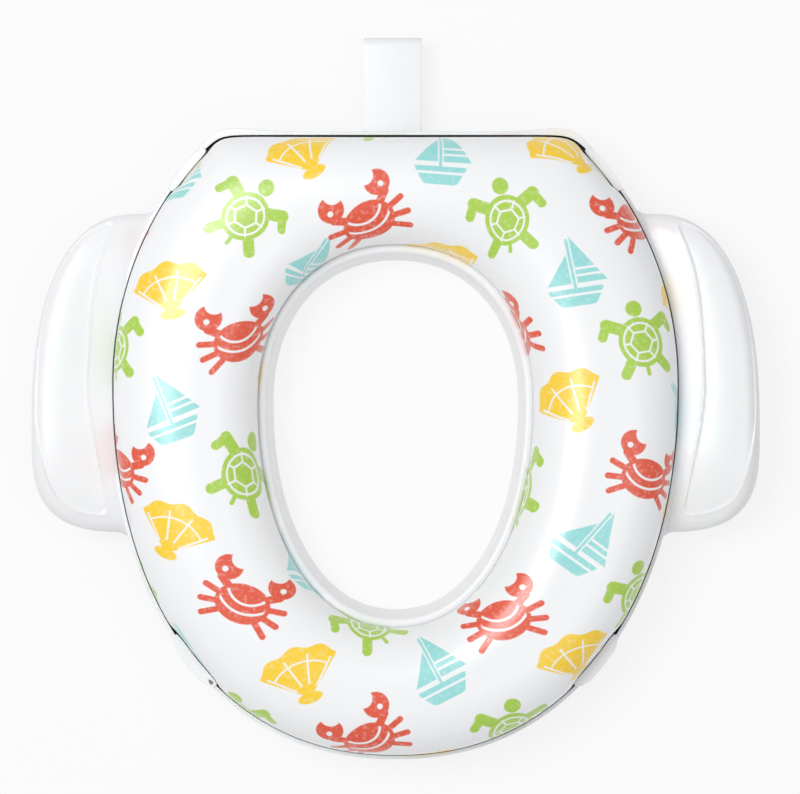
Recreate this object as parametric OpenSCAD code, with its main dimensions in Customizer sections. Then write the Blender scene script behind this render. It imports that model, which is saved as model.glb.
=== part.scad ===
// Potty training seat: a moulded base with two grip handles and a collar that drops into a
// toilet seat, a padded ring cushion on top, non-slip pads below and a hook to hang it by.
// The origin is the centre of the opening in the plane of the collar's lower rim.
// +Z is up, +Y is towards the flat rear edge and +X is to the right, seen from above with the
// rear edge away.

/* [Seat outline] */
// Width of the cushion at its widest line
cushion_w = 294; // [286:1:302]
// Distance of the widest line behind the centre of the opening
wide_y = 28; // [22:1:34]
// Reach of the round front ahead of the widest line
front_reach = 194; // [184:1:204]
// Reach that the rear curve would have behind the widest line without its flat
rear_reach = 164; // [156:1:174]
// Distance of the flat rear edge behind the centre of the opening
rear_flat_y = 156.5; // [150:0.5:162]

/* [Opening] */
// Width of the opening at the cushion's inner edge
opening_w = 145.6; // [138:0.2:152]
// Distance of the opening's widest line behind its centre
opening_wide_y = 18; // [12:1:24]
// Reach of the opening ahead of its widest line
opening_front = 118.6; // [110:0.2:124]
// Reach of the opening behind its widest line
opening_rear = 83; // [78:0.5:88]

/* [Base moulding] */
// Wall thickness of the base moulding
wall = 2.5; // [1.8:0.1:3.2]
// Gap between the cushion and the raised rim round it
rim_gap = 0.5; // [0.4:0.1:1]
// Width of the raised rim round the cushion
rim_w = 1.2; // [1:0.1:2]
// Height of the raised rim above the deck
rim_h = 5.5; // [3:0.5:5.5]
// How much further the base stands out at its rear corners
corner_w = 2; // [0:0.5:3]
// Height of the skirt, from its lower edge to the top of the deck
skirt_h = 12; // [10:0.5:16]
// Depth that the collar drops below the non-slip pads
collar_drop = 18; // [12:0.5:26]
// How far the collar closes in on its way down
collar_taper = 2.5; // [2:0.5:8]
// Width of the rounded lip round the opening
lip_w = 4.6; // [3.6:0.2:6]
// Height of the lip above the deck
lip_h = 6.5; // [4:0.5:10]
// Thickness of the ribs below the deck
rib_t = 1.8; // [1:0.1:2.4]
// Depth of the ribs below the deck
rib_h = 6; // [3:0.5:7]
// Number of radial ribs below the deck
rib_count = 16; // [10:2:24]

/* [Handles] */
// Distance from the centre line to the outermost point of a handle
handle_reach = 192; // [184:1:200]
// Distance of the handle's outermost point behind the centre of the opening
handle_wide_y = 3; // [-4:1:10]
// Length of a handle ahead of its outermost point
handle_front = 54; // [46:1:62]
// Length of a handle behind its outermost point
handle_rear = 114; // [104:1:124]
// Distance from the centre line to the square root of a handle's ends
handle_root = 135; // [130:1:138]
// Height of the handle's crest above the deck
handle_crest = 10; // [8.5:0.5:16]
// Height of the handle above the deck where it meets the cushion
handle_valley = 7; // [6.5:0.5:8]
// Depth of the dished grip panel
grip_depth = 0.9; // [0.4:0.1:1.4]
// Width of the rim left round the outside of the grip panel
grip_margin = 4.5; // [3:0.5:7]
// Distance of the grip panel from the handle's front end
grip_front = 9.5; // [6:0.5:14]
// Distance of the grip panel from the cushion's edge
grip_inset = 16; // [12:0.5:20]
// Radius of the fillets where the handles' ends run into the skirt
root_fillet = 8; // [4:1:12]

/* [Side lugs] */
// Length of a lug that keeps the cushion in line
lug_l = 28; // [16:1:36]
// Width of a lug across its top
lug_w = 4; // [2.6:0.2:5]
// Height of a lug above the deck
lug_h = 6.5; // [6:0.5:8]

/* [Cushion] */
// Height of the cushion's crown above the deck
cushion_h = 34.5; // [28:0.5:42]
// Thickness of the cover
cover_t = 0.9; // [0.6:0.1:1.4]
// Width of the hem that is tucked below the backing plate
hem_w = 8; // [5:0.5:9]
// Thickness of the backing plate
plate_t = 2.5; // [1.8:0.1:3.5]
// Diameter of the snap pegs below the backing plate
peg_d = 6; // [4:0.5:8]

/* [Non-slip pads] */
// Length of a pad
pad_l = 34; // [24:1:44]
// Width of a pad
pad_w = 14; // [10:1:18]
// How far a pad stands below the skirt's lower edge
pad_proud = 2; // [1:0.25:3]
// Number of grooves across a pad's face
pad_grooves = 5; // [3:1:7]

/* [Hanging hook] */
// Width of the hook's strip
hook_w = 29.5; // [20:0.5:40]
// Thickness of the hook's strip
hook_t = 2; // [1.4:0.1:2.6]
// Length of the strip behind the flat rear edge
hook_reach = 55; // [42:1:70]
// Length of the leg that drops behind the tank
hook_leg = 34; // [20:1:44]
// Clear gap of the bend that goes over the tank's wall
hook_gap = 11.5; // [8:0.5:12]
// Height of the prong that catches the skirt
prong_h = 8; // [5:0.5:8.5]

/* [Hidden] */
clear = 0.3;
part_gap = 0.2;
inf_step = 0.25;

// Levels, counted up from the collar's lower rim
pad_face_z = collar_drop;
skirt_z = pad_face_z + pad_proud;
deck_z = skirt_z + skirt_h;
deck_under_z = deck_z - wall;
lip_z = deck_z + lip_h;
crown_z = deck_z + cushion_h;
rim_z = deck_z + rim_h;
flange_w = rim_gap + rim_w;
hem_z = deck_z + part_gap;
plate_z = hem_z + cover_t + part_gap;
foam_z = plate_z + plate_t + part_gap;

// Forms of the curves
rim_front_n = 2.2;
opening_n = 2.15;
corner_sharpness = 70;
cushion_n = 2.35;
handle_front_n = 3.3;
handle_rear_n = 2.45;
handle_end_n = 4.5;
dome_n = 2.4;

// Directions of the stations round the seat, closer together at the rear corners
right_half = concat([for (a = [-90:7.5:45]) a], [48, 51, 54, 57, 61, 68, 79, 90]);
left_half = [for (i = [len(right_half) - 2:-1:1]) 180 - right_half[i]];
stations = concat(right_half, left_half);

// Reach of a closed curve in direction a: an ellipse of power n, longer at one end
function oval_r(a, half_w, front, rear, n) =
    let (reach = sin(a) < 0 ? front : rear)
    1 / pow(pow(abs(cos(a)) / half_w, n) + pow(abs(sin(a)) / reach, n), 1 / n);

// Reach of the cushion's outer edge, which the flat cuts with a soft corner
function rim_r(a) =
    let (curve = oval_r(a, cushion_w / 2, front_reach, rear_reach, sin(a) < 0 ? rim_front_n : 2))
    sin(a) <= 0 ? curve :
    let (flat = (rear_flat_y - wide_y) / sin(a))
    pow(pow(curve, -corner_sharpness) + pow(flat, -corner_sharpness), -1 / corner_sharpness);

function well_r(a) = oval_r(a, opening_w / 2, opening_front, opening_rear, opening_n);
function rim_point(a) = [0, wide_y] + rim_r(a) * [cos(a), sin(a)];
function well_point(a) = [0, opening_wide_y] + well_r(a) * [cos(a), sin(a)];

// A point beside a curve, off to the outside by d
function beside(p, before, after, d) = let (t = after - before) p + d * [t.y, -t.x] / norm(t);
function rim_at(a, d) = beside(rim_point(a), rim_point(a - inf_step), rim_point(a + inf_step), d);
function well_at(a, d) = beside(well_point(a), well_point(a - inf_step), well_point(a + inf_step), d);

// Profile points are [edge, distance outwards from that edge, height]
WELL = 0;
RIM = 1;
SKIRT = 2;
// Extra width of the base at its rear corners
corner_turn = 55.5;
function corner_extra(a) = corner_w * exp(-pow(((a > 90 ? 180 - a : a) - corner_turn) / 5.5, 2));
function place(a, p) =
    let (q = p[0] == WELL ? well_at(a, p[1])
            : p[0] == RIM ? rim_at(a, p[1]) : rim_at(a, p[1] + corner_extra(a)))
    [q.x, q.y, p[2]];
function rim_outline(d) = [for (a = stations) rim_at(a, d)];
function well_outline(d) = [for (a = stations) well_at(a, d)];

function reversed(v) = [for (i = [len(v) - 1:-1:0]) v[i]];

// Skin of triangles over a closed row of closed sections
module ring_loft(sections) {
    m = len(sections);
    k = len(sections[0]);
    polyhedron(
        points = [for (s = sections) each s],
        faces = [for (i = [0:m - 1], j = [0:k - 1])
            let (i2 = (i + 1) % m, j2 = (j + 1) % k)
            each [[i * k + j, i * k + j2, i2 * k + j2], [i * k + j, i2 * k + j2, i2 * k + j]]],
        convexity = 8);
}

// Skin over an open row of closed sections, with a flat face at each end
module bar_loft(sections) {
    m = len(sections);
    k = len(sections[0]);
    polyhedron(
        points = [for (s = sections) each s],
        faces = concat(
            [for (i = [0:m - 2], j = [0:k - 1])
                let (j2 = (j + 1) % k)
                each [[i * k + j, (i + 1) * k + j2, i * k + j2],
                      [i * k + j, (i + 1) * k + j, (i + 1) * k + j2]]],
            [[for (j = [0:k - 1]) j]],
            [[for (j = [k - 1:-1:0]) (m - 1) * k + j]]),
        convexity = 8);
}

// Base: deck, skirt and collar

lip_out = -0.7;
lip_in = lip_out - lip_w;
collar_foot = lip_in - collar_taper;
base_profile = [
    [SKIRT, flange_w, skirt_z],
    [SKIRT, flange_w, rim_z - 0.4],
    [SKIRT, flange_w - 0.4, rim_z],
    [RIM, rim_gap + 0.2, rim_z],
    [RIM, rim_gap, rim_z - 0.2],
    [RIM, rim_gap, deck_z + 0.5],
    [RIM, rim_gap - 0.5, deck_z],
    [WELL, 2.6, deck_z],
    [WELL, 0.4, deck_z + 0.5],
    [WELL, lip_out, deck_z + 2.2],
    [WELL, lip_out, lip_z - 1.6],
    [WELL, lip_out - 0.15 * lip_w, lip_z - 0.45],
    [WELL, lip_out - 0.45 * lip_w, lip_z],
    [WELL, lip_out - 0.78 * lip_w, lip_z - 0.5],
    [WELL, lip_in, lip_z - 2],
    [WELL, lip_in - 0.8, deck_z - 5],
    [WELL, collar_foot, 1.1],
    [WELL, collar_foot + 0.4, 0.3],
    [WELL, collar_foot + 1, 0],
    [WELL, collar_foot + wall - 0.3, 0],
    [WELL, collar_foot + wall + 0.2, 1],
    [WELL, lip_in + wall - 0.6, deck_under_z - 3],
    [WELL, lip_in + wall + 2.2, deck_under_z],
    [SKIRT, flange_w - wall - 1.5, deck_under_z],
    [SKIRT, flange_w - wall, deck_under_z - 1.5],
    [SKIRT, flange_w - wall, skirt_z]
];

module deck_and_collar() {
    ring_loft([for (a = stations) [for (p = base_profile) place(a, p)]]);
}

// Base: handles, drawn for the right-hand side

function edge_x(y) =
    let (reach = y < wide_y ? front_reach : rear_reach, n = y < wide_y ? rim_front_n : 2)
    cushion_w / 2 * pow(1 - pow(abs(y - wide_y) / reach, n), 1 / n);
function fall(t, n) = pow(max(0, 1 - pow(abs(t), n)), 1 / n);
function handle_y(a, cut) = handle_wide_y + (sin(a) < 0 ? handle_front - cut : handle_rear - cut) * sin(a);
function handle_tip(a, cut) =
    let (n = sin(a) < 0 ? handle_front_n : handle_rear_n)
    handle_root + (handle_reach - cut - handle_root) * fall(sin(a), n);

crest_at = 0.3;
crest_z = deck_z + handle_crest;
valley_z = deck_z + handle_valley;
// Height of the handle's top at share w of its width: a hollow rise, then a dome to the skirt's edge
function handle_top(w) = w < crest_at
    ? crest_z - (crest_z - valley_z) * pow(1 - w / crest_at, 2)
    : skirt_z + (crest_z - skirt_z) * fall((w - crest_at) / (1 - crest_at), dome_n);

handle_shares = [0, 0.08, 0.18, 0.3, 0.43, 0.56, 0.68, 0.78, 0.86, 0.92, 0.965, 0.99, 1];
handle_stations = [-86, -78, -69, -60, -50, -39, -26, -12, 3, 18, 32, 45, 56, 66, 75, 82, 87];

// Section of a handle: its top lowered by drop, closed at height end_z, in from the outline by cut
function handle_section(a, cut, inner, drop, end_z) =
    let (y = handle_y(a, cut), x0 = edge_x(y) + inner, x1 = handle_tip(a, cut),
         g = fall(sin(a), handle_end_n))
    concat(
        [[x0, y, end_z]],
        [for (w = handle_shares)
            [x0 + (x1 - x0) * w, y, handle_floor_z + 0.1 + (handle_top(w) - skirt_z - drop) * g]],
        [[x1, y, end_z]]);

handle_sits_in = rim_gap + 0.2;
handle_floor_z = skirt_z + 0.3;
handle_lining = flange_w + 0.8;
module handle_block() {
    bar_loft([for (a = handle_stations) handle_section(a, 0, handle_sits_in, 0, handle_floor_z)]);
}

module handle_hollow() {
    bar_loft([for (a = handle_stations) handle_section(a, wall, handle_lining, wall, skirt_z - wall)]);
}

// Everything above the floor of the grip panel
module handle_lid() {
    bar_loft(reversed(
        [for (a = handle_stations) handle_section(a, 0, handle_sits_in, grip_depth, 2 * crest_z)]));
}

module handle_plan() {
    polygon(concat(
        [for (a = handle_stations) [handle_tip(a, 0), handle_y(a, 0)]],
        [[handle_root - 20, handle_wide_y + handle_rear], [handle_root - 20, handle_wide_y - handle_front]]));
}

// Outline of the grip panel: the handle inside its margin, less the cushion's edge moved outwards
module grip_outline() {
    offset(r = 4, $fn = 24)
    offset(delta = -4)
    difference() {
        offset(delta = -grip_margin) handle_plan();
        polygon(rim_outline(grip_inset));
        translate([0, handle_wide_y - 2 * handle_front + grip_front])
            square([handle_reach, handle_front]);
    }
}

module handle() {
    difference() {
        handle_block();
        handle_hollow();
        intersection() {
            linear_extrude(2 * crest_z + 1) grip_outline();
            handle_lid();
        }
    }
}

// Direction in which a fillet circle outside the skirt has its centre at height y of the plan
function fillet_turn(y, low, high, steps) =
    let (mid = (low + high) / 2)
    steps == 0 ? mid :
    rim_at(mid, flange_w + root_fillet).y < y ? fillet_turn(y, mid, high, steps - 1)
        : fillet_turn(y, low, mid, steps - 1);

// Fillet that fills the sharp corner between the skirt and a handle's end at end_y
module root_web(end_y, way) {
    a = fillet_turn(end_y + way * root_fillet, -80, 80, 24);
    c = rim_at(a, flange_w + root_fillet);
    bite = 1.2;
    translate([0, 0, skirt_z + 0.8])
    linear_extrude(skirt_h + rim_h - 1.6)
    difference() {
        polygon([rim_at(a, flange_w - bite), [edge_x(end_y) + 0.3, end_y - way * bite],
            [c.x, end_y - way * bite]]);
        translate(c) circle(r = root_fillet, $fn = 36);
    }
}

// Base: lugs, ribs, pad seats

lug_angles = [-54, 45.5];
function lug_turn(a) = lug_l / 4 / rim_r(a) * 180 / PI;

module lug_post(a) {
    p = rim_at(a, rim_gap + lug_w / 2);
    translate([p.x, p.y, skirt_z + 1]) {
        cylinder(d = lug_w, h = skirt_h + lug_h - 2, $fn = 12);
        cylinder(d = lug_w - 1.2, h = skirt_h + lug_h - 1, $fn = 12);
    }
}

module lug(a) {
    for (i = [-2:1]) hull() {
        lug_post(a + i * lug_turn(a));
        lug_post(a + (i + 1) * lug_turn(a));
    }
}

module rib_post(p) {
    translate([p.x, p.y, deck_under_z - rib_h]) cylinder(d = rib_t, h = rib_h + 0.5, $fn = 4);
}

module radial_ribs() {
    for (i = [0:rib_count - 1]) {
        a = (i + 0.5) * 360 / rib_count;
        hull() {
            rib_post(well_at(a, lip_in + wall - 1.2));
            rib_post(rim_at(a, flange_w - wall - 0.4));
        }
    }
}

// A point on the deck, at a share of the way in from the rim to the opening
function deck_at(a, share) = rim_at(a, 0) + (well_at(a, 0) - rim_at(a, 0)) * share;

pad_angles = [-126, -54, 144, 36];
pad_seat_wall = 1.8;
pad_h = 6;
pad_seat_z = pad_face_z + pad_h;
pad_share = 0.5;
function pad_turn(a) = let (t = deck_at(a + 1, pad_share) - deck_at(a - 1, pad_share)) atan2(t.y, t.x);

module stadium(l, w) {
    hull() {
        translate([w / 2 - l / 2, 0]) circle(d = w, $fn = 24);
        translate([l / 2 - w / 2, 0]) circle(d = w, $fn = 24);
    }
}

module at_pad(a) {
    p = deck_at(a, pad_share);
    translate([p.x, p.y, 0]) rotate(pad_turn(a)) children();
}

module pad_seats() {
    for (a = pad_angles) at_pad(a) translate([0, 0, skirt_z + 1])
        linear_extrude(deck_under_z - skirt_z - 0.5)
        stadium(pad_l + 2 * (clear + pad_seat_wall), pad_w + 2 * (clear + pad_seat_wall));
}

module pad_sockets() {
    for (a = pad_angles) at_pad(a) translate([0, 0, skirt_z - 1])
        linear_extrude(pad_seat_z + part_gap - skirt_z + 1)
        stadium(pad_l + 2 * clear, pad_w + 2 * clear);
}

peg_angles = [-90, -18, 18, 90, 162, 198];
peg_share = 0.32;
function peg_place(a) = deck_at(a, peg_share);

module peg_holes() {
    for (a = peg_angles) translate([peg_place(a).x, peg_place(a).y, deck_under_z - 1])
        cylinder(d = peg_d + 2 * clear, h = wall + 2, $fn = 16);
}

module base() {
    color("white")
    difference() {
        union() {
            deck_and_collar();
            for (side = [0, 1]) mirror([side, 0, 0]) {
                handle();
                root_web(handle_wide_y + handle_rear, 1);
                root_web(handle_wide_y - handle_front, -1);
                for (a = lug_angles) lug(a);
            }
            radial_ribs();
            pad_seats();
        }
        pad_sockets();
        peg_holes();
    }
}

// Cushion: backing plate, foam and cover

plate_inset = cover_t + 2.6;
peg_tip_z = deck_under_z - 3;

module cushion_plate() {
    color("lightgrey") {
        translate([0, 0, plate_z]) linear_extrude(plate_t) difference() {
            polygon(rim_outline(-plate_inset));
            polygon(well_outline(plate_inset));
        }
        for (a = peg_angles) translate([peg_place(a).x, peg_place(a).y, 0]) {
            translate([0, 0, peg_tip_z])
                cylinder(d = peg_d, h = plate_z - peg_tip_z + 0.5, $fn = 24);
            translate([0, 0, peg_tip_z])
                cylinder(d1 = peg_d - 2, d2 = peg_d + 1.6, h = deck_under_z - clear - peg_tip_z, $fn = 24);
        }
    }
}

// Half turn over the cushion as [share of the way from the opening to the rim, share of height]
function arch(count, i) =
    let (a = 180 - 180 * i / (count - 1), c = cos(a), s = sin(a))
    [0.5 + 0.5 * sign(c) * pow(abs(c), 2 / cushion_n), pow(abs(s), 2 / cushion_n)];

shoulder_z = deck_z + 8;
function arch_point(a, share, in, rise) =
    let (p = well_at(a, in), q = rim_at(a, -in), m = p + (q - p) * share[0])
    [m.x, m.y, shoulder_z + rise * share[1]];

cover_top_count = 12;
lining_count = 8;
hem_out = [[3.4, hem_z], [2.2, hem_z + 0.6], [0.9, hem_z + 2.8]];
hem_in = [[plate_inset - 0.5, hem_z + cover_t], [2.2 + cover_t, hem_z + cover_t + 0.5],
          [1.0 + cover_t, hem_z + 3.4]];

function hem_points(a, edge, list) =
    [for (p = list) place(a, [edge, edge == RIM ? -p[0] : p[0], p[1]])];

hem_reach = plate_inset + hem_w;
function cover_section(a) = concat(
    hem_points(a, RIM, [[hem_reach, hem_z + cover_t], [hem_reach, hem_z]]),
    hem_points(a, RIM, hem_out),
    [for (i = [cover_top_count - 1:-1:0])
        arch_point(a, arch(cover_top_count, i), 0, crown_z - shoulder_z)],
    hem_points(a, WELL, reversed(hem_out)),
    hem_points(a, WELL, [[hem_reach, hem_z], [hem_reach, hem_z + cover_t]]),
    hem_points(a, WELL, hem_in),
    [for (i = [0:lining_count - 1])
        arch_point(a, arch(lining_count, i), cover_t, crown_z - cover_t - shoulder_z)],
    hem_points(a, RIM, reversed(hem_in)));

module cushion_cover() {
    color("whitesmoke")
    ring_loft([for (a = stations) cover_section(a)]);
}

foam_inset = cover_t + 0.5;
function foam_section(a) = concat(
    hem_points(a, RIM, [[foam_inset + 1.2, foam_z]]),
    [for (i = [lining_count - 1:-1:0])
        arch_point(a, arch(lining_count, i), foam_inset, crown_z - foam_inset - shoulder_z)],
    hem_points(a, WELL, [[foam_inset + 1.2, foam_z]]));

module cushion_foam() {
    color("khaki")
    ring_loft([for (a = stations) foam_section(a)]);
}

// Non-slip pads

groove_w = 1.2;
groove_depth = 0.8;

module grip_pad(a) {
    color("gainsboro")
    at_pad(a) difference() {
        union() {
            translate([0, 0, pad_face_z]) linear_extrude(1) stadium(pad_l - 1, pad_w - 1);
            translate([0, 0, pad_face_z + 1]) linear_extrude(pad_h - 1) stadium(pad_l, pad_w);
        }
        for (i = [1:pad_grooves])
            translate([(i / (pad_grooves + 1) - 0.5) * pad_l - groove_w / 2, -pad_w, pad_face_z - 1])
            cube([groove_w, 2 * pad_w, groove_depth + 1]);
    }
}

// Hanging hook: a strip bent up into a prong at the seat and down over the tank at its far end

hook_top_z = skirt_z - part_gap - 0.1;
hook_mid_z = hook_top_z - hook_t / 2;
prong_y = rear_flat_y + flange_w - wall - clear - hook_t;
hook_end_y = rear_flat_y + hook_reach;
leg_z = hook_mid_z - hook_gap - hook_t;

// Centre line of the strip seen from the side, as [y, z]
prong_mid_y = prong_y + hook_t / 2;
end_mid_y = hook_end_y - hook_t / 2;
bend_r = 4;
hook_path = concat(
    [[prong_mid_y, hook_mid_z + prong_h],
     [prong_mid_y, hook_mid_z + 1.2],
     [prong_mid_y + 0.35, hook_mid_z + 0.35],
     [prong_mid_y + 1.2, hook_mid_z]],
    [for (a = [90:-22.5:0]) [end_mid_y - bend_r + bend_r * cos(a), hook_mid_z - bend_r + bend_r * sin(a)]],
    [for (a = [0:-22.5:-90]) [end_mid_y - bend_r + bend_r * cos(a), leg_z + bend_r + bend_r * sin(a)]],
    [[hook_end_y - hook_leg, leg_z + 1.5]]);

module strip_side() {
    for (i = [0:len(hook_path) - 2]) hull() {
        translate(hook_path[i]) circle(d = hook_t, $fn = 12);
        translate(hook_path[i + 1]) circle(d = hook_t, $fn = 12);
    }
}

module hanging_hook() {
    color("azure")
    translate([-hook_w / 2, 0, 0])
    rotate([90, 0, 90])
    linear_extrude(hook_w) strip_side();
}

base();
cushion_plate();
cushion_foam();
cushion_cover();
grip_pad(pad_angles[0]);  // grip_pad_front_left
grip_pad(pad_angles[1]);  // grip_pad_front_right
grip_pad(pad_angles[2]);  // grip_pad_rear_left
grip_pad(pad_angles[3]);  // grip_pad_rear_right
hanging_hook();
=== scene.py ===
"""Potty training seat: finish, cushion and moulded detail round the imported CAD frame.

The seat lies face up with the collar's rim on the floor. The frame is the CAD frame in metres:
the origin is the centre of the opening at the collar's lower rim, +Z is up and +Y points at the
flat rear edge, where the hanging hook sits.
"""

import logging
import math
from dataclasses import dataclass
from enum import Enum
from functools import reduce
from typing import Callable, Sequence, Union

import bmesh
import bpy
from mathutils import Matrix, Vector


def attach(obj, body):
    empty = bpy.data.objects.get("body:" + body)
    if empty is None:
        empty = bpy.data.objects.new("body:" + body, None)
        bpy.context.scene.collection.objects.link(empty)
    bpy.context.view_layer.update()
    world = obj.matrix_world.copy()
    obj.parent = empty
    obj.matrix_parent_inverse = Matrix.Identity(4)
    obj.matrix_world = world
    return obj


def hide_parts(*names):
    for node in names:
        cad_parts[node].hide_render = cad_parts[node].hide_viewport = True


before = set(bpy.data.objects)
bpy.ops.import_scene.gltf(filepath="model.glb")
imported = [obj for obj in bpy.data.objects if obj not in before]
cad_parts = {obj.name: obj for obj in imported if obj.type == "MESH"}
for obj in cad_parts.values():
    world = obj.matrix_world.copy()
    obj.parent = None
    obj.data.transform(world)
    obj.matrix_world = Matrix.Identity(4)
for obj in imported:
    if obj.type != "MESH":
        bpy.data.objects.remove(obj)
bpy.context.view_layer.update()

log = logging.getLogger("potty_seat")

MM = 0.001
BODY = "root"
IMAGE_WIDTH = 800

Triple = tuple[float, float, float]
Colour = Triple
Point = tuple[float, float]
Solid = bmesh.types.BMesh
Piece = bpy.types.Object
Material = bpy.types.Material
Node = bpy.types.Node
Socket = bpy.types.NodeSocket
Tree = bpy.types.NodeTree


# Outline of the seat


class Side(Enum):
    """The two halves of the seat, by the sign of X."""

    LEFT = -1
    RIGHT = 1


def held(value: float) -> float:
    """A number held between 0 and 1."""
    return min(1.0, max(0.0, value))


def fall(share: float, power: float) -> float:
    """Height at share of a superellipse's half width, from 1 at the middle to 0 at the end."""
    return max(0.0, 1.0 - abs(share) ** power) ** (1.0 / power)


def ease(value: float, start: float, end: float) -> float:
    """Smooth step from 0 at start to 1 at end."""
    t = held((value - start) / (end - start))
    return t * t * (3.0 - 2.0 * t)


def arch(steps: int, power: float) -> list[Point]:
    """Places on half a rounded arch, from (1, 0) over (0, 1) to (-1, 0).

    Args:
        steps: Number of steps.
        power: Roundness, 1 for a half circle and less for a squarer arch.

    Returns:
        The places in order.
    """
    places = []
    for i in range(steps + 1):
        c, s = math.cos(math.pi * i / steps), math.sin(math.pi * i / steps)
        places.append((math.copysign(abs(c) ** power, c), abs(s) ** power))
    return places


def right_of(run: Vector) -> Vector:
    """A direction in the plan turned a quarter to the right."""
    return Vector((run.y, -run.x))


@dataclass(frozen=True)
class SeatOutline:
    """Plan of the seat: the cushion's outer edge (rim) and the opening's edge (well)."""

    cushion_width: float = 294 * MM
    wide_y: float = 28 * MM
    front_reach: float = 194 * MM
    rear_reach: float = 164 * MM
    rear_flat_y: float = 156.5 * MM
    opening_width: float = 145.6 * MM
    opening_wide_y: float = 18 * MM
    opening_front: float = 118.6 * MM
    opening_rear: float = 83 * MM
    rim_front_power: float = 2.2
    rim_rear_power: float = 2.0
    opening_power: float = 2.15
    corner_sharpness: float = 70.0
    corner_width: float = 2 * MM
    corner_turn: float = 55.5
    corner_spread: float = 5.5
    probe: float = math.radians(0.25)
    fine_steps: int = 2880
    bend_weight: float = 0.022

    @staticmethod
    def _reach(turn: float, width: float, front: float, rear: float, power: float) -> float:
        """Reach of an oval in direction turn.

        Args:
            turn: Direction in radians, counted from the right.
            width: Full width.
            front: Reach forwards.
            rear: Reach backwards.
            power: Squareness, 2 for a true oval.

        Returns:
            The distance from the oval's middle.
        """
        across = abs(math.cos(turn)) / (width / 2)
        along = abs(math.sin(turn)) / (front if math.sin(turn) < 0 else rear)
        return (across**power + along**power) ** (-1.0 / power)

    def rim_point(self, turn: float) -> Vector:
        """Point of the cushion's outer edge in direction turn, with its flat at the rear."""
        rear = math.sin(turn) > 0
        power = self.rim_rear_power if rear else self.rim_front_power
        reach = self._reach(turn, self.cushion_width, self.front_reach, self.rear_reach, power)
        if rear:
            flat = (self.rear_flat_y - self.wide_y) / math.sin(turn)
            sharp = self.corner_sharpness
            reach = reach * (1.0 + (reach / flat) ** sharp) ** (-1.0 / sharp)
        return Vector((reach * math.cos(turn), self.wide_y + reach * math.sin(turn)))

    def well_point(self, turn: float) -> Vector:
        """Point of the opening's edge in direction turn."""
        ends = (self.opening_front, self.opening_rear)
        reach = self._reach(turn, self.opening_width, *ends, self.opening_power)
        return Vector((reach * math.cos(turn), self.opening_wide_y + reach * math.sin(turn)))

    def _beside(self, curve: Callable[[float], Vector], turn: float, offset: float) -> Vector:
        """Point of a curve moved off it by offset, outwards where that is positive."""
        along = curve(turn + self.probe) - curve(turn - self.probe)
        return curve(turn) + right_of(along).normalized() * offset

    def rim_at(self, turn: float, offset: float = 0.0) -> Vector:
        """Point at an offset outside the rim."""
        return self._beside(self.rim_point, turn, offset)

    def well_at(self, turn: float, offset: float = 0.0) -> Vector:
        """Point at an offset outside the opening's edge, which is towards the cushion."""
        return self._beside(self.well_point, turn, offset)

    def corner_extra(self, turn: float) -> float:
        """How much further the base stands out in direction turn, at its rear corners."""
        folded = math.degrees(math.atan2(math.sin(turn), abs(math.cos(turn))))
        angle = abs(folded - self.corner_turn)
        return self.corner_width * math.exp(-((angle / self.corner_spread) ** 2))

    def lay(self, turn: float, share: float, offset: float) -> Vector:
        """Point at a share of the way from the opening's edge to the rim, both moved by offset."""
        well = self.well_at(turn, offset)
        return well + (self.rim_at(turn, offset) - well) * share

    def rim_offset(self, x: float, y: float) -> float:
        """How far a point near the rim lies outside it."""
        turn = math.atan2(y - self.wide_y, x)
        along = self.rim_point(turn + self.probe) - self.rim_point(turn - self.probe)
        base = self.rim_point(turn)
        return ((x - base.x) * along.y - (y - base.y) * along.x) / along.length

    def edge_x(self, y: float) -> float:
        """Half width of the cushion at y."""
        front = y < self.wide_y
        reach = self.front_reach if front else self.rear_reach
        power = self.rim_front_power if front else self.rim_rear_power
        return self.cushion_width / 2 * fall((y - self.wide_y) / reach, power)

    def stations(self, count: int) -> list[float]:
        """Directions round the seat, closer together where the rim turns sharply.

        Args:
            count: How many directions, starting in the middle of the front.

        Returns:
            The directions in radians, rising from -90 degrees.
        """
        fine = self.fine_steps
        turns = [-math.pi / 2 + 2 * math.pi * i / fine for i in range(fine + 1)]
        points = [self.rim_point(t) for t in turns]
        run = [0.0]
        for i in range(fine):
            step = points[i + 1] - points[i]
            before = points[i] - points[i - 1] if i else step
            run.append(run[-1] + step.length + self.bend_weight * abs(before.angle(step, 0.0)))
        picked = []
        k = 0
        for i in range(count):
            goal = run[-1] * i / count
            while run[k + 1] < goal:
                k += 1
            part = (goal - run[k]) / (run[k + 1] - run[k])
            picked.append(turns[k] + (turns[k + 1] - turns[k]) * part)
        return picked


@dataclass(frozen=True)
class SeatLevels:
    """Heights above the collar's lower rim."""

    pad_face: float = 18 * MM
    skirt: float = 20 * MM
    deck: float = 32 * MM
    rim: float = 37.5 * MM
    wall: float = 2.5 * MM
    lip: float = 38.5 * MM
    hem: float = 32.25 * MM
    shoulder: float = 40 * MM
    crown: float = 66.5 * MM
    handle_crest: float = 45 * MM

    @property
    def deck_under(self) -> float:
        """Height of the deck's lower face."""
        return self.deck - self.wall


OUTLINE = SeatOutline()
LEVELS = SeatLevels()


# Mesh helpers


@dataclass(frozen=True)
class ProfilePoint:
    """A point of a section through the ring.

    It holds the share of the way across, the distance off the edge and the height. Where flare is
    1 it goes outwards with the base's rear corners.
    """

    share: float
    offset: float
    height: float
    flare: float = 0.0


WELL = 0.0
RIM = 1.0


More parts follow.
